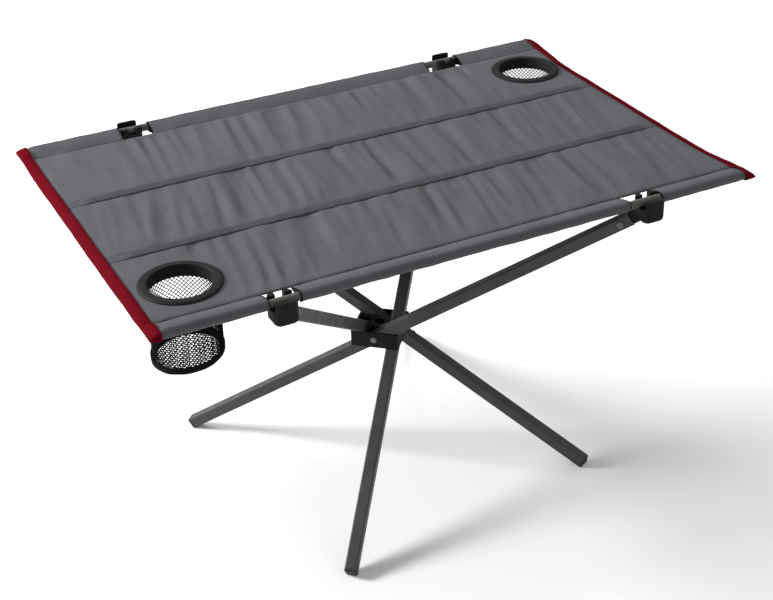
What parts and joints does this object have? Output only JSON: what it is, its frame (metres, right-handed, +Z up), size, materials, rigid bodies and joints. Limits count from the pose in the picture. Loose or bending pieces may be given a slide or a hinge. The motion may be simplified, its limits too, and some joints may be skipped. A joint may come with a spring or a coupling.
{
  "type": "folding camp table",
  "caption": "Low folding camp table: a cloth top on two hem rods, mesh cup holders in opposite corners, and four square legs that cross through a central hub.",
  "frame": {"origin": "on the floor, under the middle of the hub", "axes": "+X along the long side, +Y across the width, +Z up"},
  "size_m": [0.74, 0.5112, 0.4206],
  "materials": {
    "grey_cloth": "woven polyester, matt",
    "red_tape": "woven binding tape",
    "black_mesh": "open net",
    "black_tape": "woven binding tape",
    "cup_plastic": "fine moulded texture",
    "black_plastic": "satin moulded",
    "foot_plastic": "matt moulded",
    "dark_paint": "satin powder coat",
    "rod_paint": "satin powder coat",
    "black_steel": "blackened",
    "fibreglass": "pultruded rod"
  },
  "bodies": {
    "hub": {"hub_block": "black_plastic", "pivot_pin_front_left": "black_steel", "pivot_pin_front_right": "black_steel", "pivot_pin_back_right": "black_steel", "pivot_pin_back_left": "black_steel"},
    "leg_front_left": {"leg_tube_front_left": "dark_paint", "pivot_bush_front_left": "foot_plastic", "foot_cap_front_left": "foot_plastic", "hook_front_left": "black_plastic", "hook_rivet_front_left": "black_steel"},
    "leg_front_right": {"leg_tube_front_right": "dark_paint", "pivot_bush_front_right": "foot_plastic", "foot_cap_front_right": "foot_plastic", "hook_front_right": "black_plastic", "hook_rivet_front_right": "black_steel"},
    "leg_back_right": {"leg_tube_back_right": "dark_paint", "pivot_bush_back_right": "foot_plastic", "foot_cap_back_right": "foot_plastic", "hook_back_right": "black_plastic", "hook_rivet_back_right": "black_steel"},
    "leg_back_left": {"leg_tube_back_left": "dark_paint", "pivot_bush_back_left": "foot_plastic", "foot_cap_back_left": "foot_plastic", "hook_back_left": "black_plastic", "hook_rivet_back_left": "black_steel"},
    "top": {"cloth_top": "grey_cloth", "hem_front": "grey_cloth", "hem_rod_front": "rod_paint", "rod_plug_front_left": "foot_plastic", "rod_plug_front_right": "foot_plastic", "batten_front": "fibreglass", "batten_sleeve_front": "grey_cloth", "hem_back": "grey_cloth", "hem_rod_back": "rod_paint", "rod_plug_back_left": "foot_plastic", "rod_plug_back_right": "foot_plastic", "batten_back": "fibreglass", "batten_sleeve_back": "grey_cloth", "end_binding_left": "red_tape", "cup_ring_left": "cup_plastic", "cup_keeper_left": "cup_plastic", "pocket_wall_left": "black_mesh", "pocket_floor_left": "black_mesh", "pocket_tape_left": "black_tape", "end_binding_right": "red_tape", "cup_ring_right": "cup_plastic", "cup_keeper_right": "cup_plastic", "pocket_wall_right": "black_mesh", "pocket_floor_right": "black_mesh", "pocket_tape_right": "black_tape"}
  },
  "joints": [
    {"name": "top_lift", "type": "slide", "parent": "hub", "child": "top", "axis": [0, 0, 1], "range_m": [0, 0.5]},
    {"name": "leg_front_left_fold", "type": "hinge", "parent": "hub", "child": "leg_front_left", "pos_m": [-0.016, 0.01329, 0.183], "axis": [-0.7692, 0.6391, 0], "range_deg": [0, 51.6]},
    {"name": "leg_front_right_fold", "type": "hinge", "parent": "hub", "child": "leg_front_right", "pos_m": [-0.01419, -0.01521, 0.183], "axis": [-0.6823, -0.7311, 0], "range_deg": [0, 51.6]},
    {"name": "leg_back_right_fold", "type": "hinge", "parent": "hub", "child": "leg_back_right", "pos_m": [0.016, -0.01329, 0.183], "axis": [0.7692, -0.6391, 0], "range_deg": [0, 51.6]},
    {"name": "leg_back_left_fold", "type": "hinge", "parent": "hub", "child": "leg_back_left", "pos_m": [0.01419, 0.01521, 0.183], "axis": [0.6823, 0.7311, 0], "range_deg": [0, 51.6]}
  ],
  "couplings": [
    {"joint": "leg_front_left_fold", "follows": "top_lift", "rad_per_m": 1.8},
    {"joint": "leg_front_right_fold", "follows": "top_lift", "rad_per_m": 1.8},
    {"joint": "leg_back_right_fold", "follows": "top_lift", "rad_per_m": 1.8},
    {"joint": "leg_back_left_fold", "follows": "top_lift", "rad_per_m": 1.8}
  ]
}
